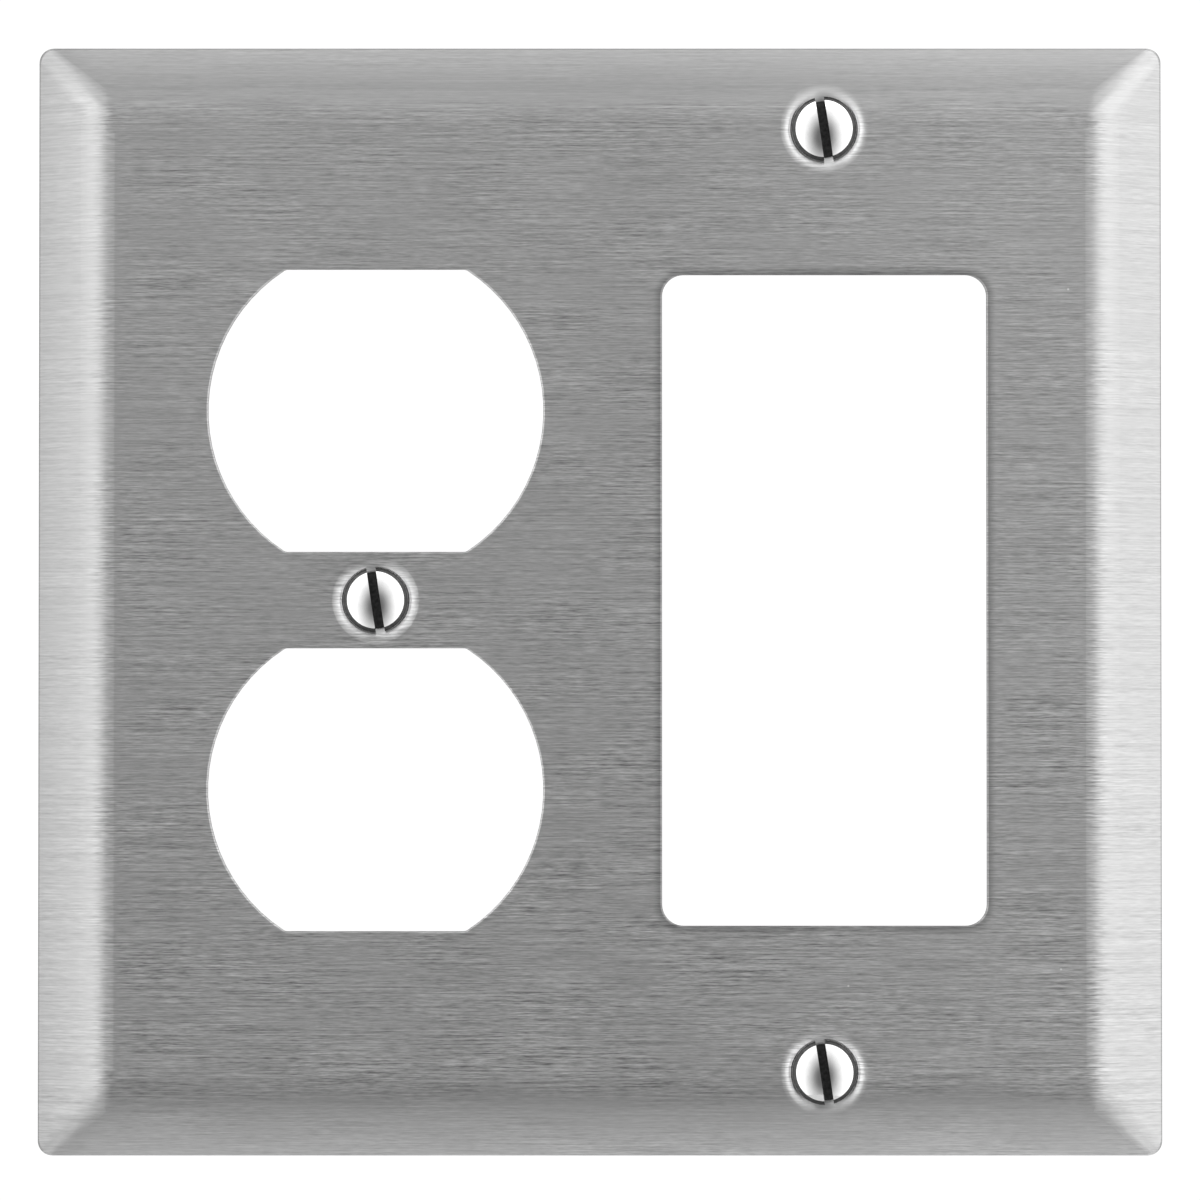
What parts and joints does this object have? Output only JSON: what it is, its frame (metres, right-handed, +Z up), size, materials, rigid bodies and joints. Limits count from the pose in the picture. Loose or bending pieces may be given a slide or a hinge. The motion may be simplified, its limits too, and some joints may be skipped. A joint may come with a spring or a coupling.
{
  "type": "wall plate cover",
  "caption": "Square brushed-steel electrical wall plate with sloping sides, flat-sided round receptacle openings, a tall device opening and slotted oval-head screws kept by washers.",
  "frame": {"origin": "centre of the rim, in the wall plane", "axes": "+X to the right seen from the front, +Y into the wall, +Z up; the face points to -Y"},
  "size_m": [0.116, 0.0138, 0.1142],
  "materials": {
    "plate": "straight grain across the plate, satin",
    "screw": "bright head, machined slot",
    "washer": "natural nylon"
  },
  "bodies": {
    "plate": {"wall_plate": "plate"},
    "receptacle_screw_washer": {"receptacle_screw_washer": "washer"},
    "receptacle_screw": {"receptacle_screw": "screw"},
    "upper_device_screw_washer": {"upper_device_screw_washer": "washer"},
    "upper_device_screw": {"upper_device_screw": "screw"},
    "lower_device_screw_washer": {"lower_device_screw_washer": "washer"},
    "lower_device_screw": {"lower_device_screw": "screw"}
  },
  "joints": [
    {"name": "receptacle_screw_draw", "type": "slide", "parent": "plate", "child": "receptacle_screw_washer", "axis": [0, -1, 0], "range_m": [0, 0.0019]},
    {"name": "receptacle_screw_turn", "type": "hinge", "parent": "receptacle_screw_washer", "child": "receptacle_screw", "pos_m": [-0.02302, 0, 0], "axis": [0, -1, 0], "continuous": true},
    {"name": "upper_device_screw_draw", "type": "slide", "parent": "plate", "child": "upper_device_screw_washer", "axis": [0, -1, 0], "range_m": [0, 0.0019]},
    {"name": "upper_device_screw_turn", "type": "hinge", "parent": "upper_device_screw_washer", "child": "upper_device_screw", "pos_m": [0.02302, 0, 0.04842], "axis": [0, -1, 0], "continuous": true},
    {"name": "lower_device_screw_draw", "type": "slide", "parent": "plate", "child": "lower_device_screw_washer", "axis": [0, -1, 0], "range_m": [0, 0.0019]},
    {"name": "lower_device_screw_turn", "type": "hinge", "parent": "lower_device_screw_washer", "child": "lower_device_screw", "pos_m": [0.02302, 0, -0.04842], "axis": [0, -1, 0], "continuous": true}
  ]
}
